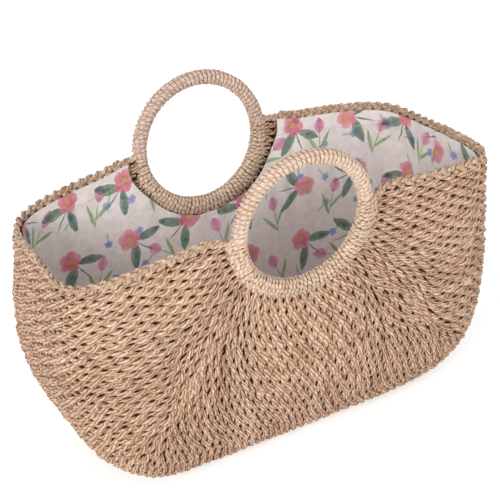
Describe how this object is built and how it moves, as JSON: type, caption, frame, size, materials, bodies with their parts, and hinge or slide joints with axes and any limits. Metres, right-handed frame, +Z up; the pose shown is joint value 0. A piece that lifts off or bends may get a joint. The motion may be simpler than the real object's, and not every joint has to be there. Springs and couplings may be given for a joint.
{
  "type": "woven market basket",
  "caption": "Open-topped market basket of twined straw cord with two leaning ring handles set into its long sides and a printed cotton lining.",
  "frame": {"origin": "middle of the flat base, on the surface that the basket stands on", "axes": "+Z up, +X along the long side, -Y towards the front panel seen in the picture"},
  "size_m": [0.4238, 0.2116, 0.3056],
  "materials": {
    "straw_cord": "twisted paper straw, matt",
    "pale_straw_cord": "twisted paper straw, matt, paler",
    "rattan_ring": "peeled rattan, bare",
    "printed_cotton": "plain weave cotton with a floral print"
  },
  "bodies": {
    "basket": {"woven_body": "straw_cord", "left_rim_plait": "straw_cord", "right_rim_plait": "straw_cord", "lining_front_panel": "printed_cotton", "lining_back_panel": "printed_cotton", "lining_base": "printed_cotton"},
    "front_handle": {"front_ring_core": "rattan_ring", "front_ring_wrap": "pale_straw_cord", "front_ring_binding": "straw_cord"},
    "back_handle": {"back_ring_core": "rattan_ring", "back_ring_wrap": "straw_cord", "back_ring_binding": "straw_cord"}
  },
  "joints": [
    {"name": "front_ring_lean", "type": "hinge", "parent": "basket", "child": "front_handle", "pos_m": [0, -0.08925, 0.177], "axis": [-1, 0, 0], "range_deg": [-10, 18], "stiffness_Nm_per_rad": 1.5},
    {"name": "back_ring_lean", "type": "hinge", "parent": "basket", "child": "back_handle", "pos_m": [0, 0.08925, 0.177], "axis": [1, 0, 0], "range_deg": [-10, 18], "stiffness_Nm_per_rad": 1.5}
  ]
}
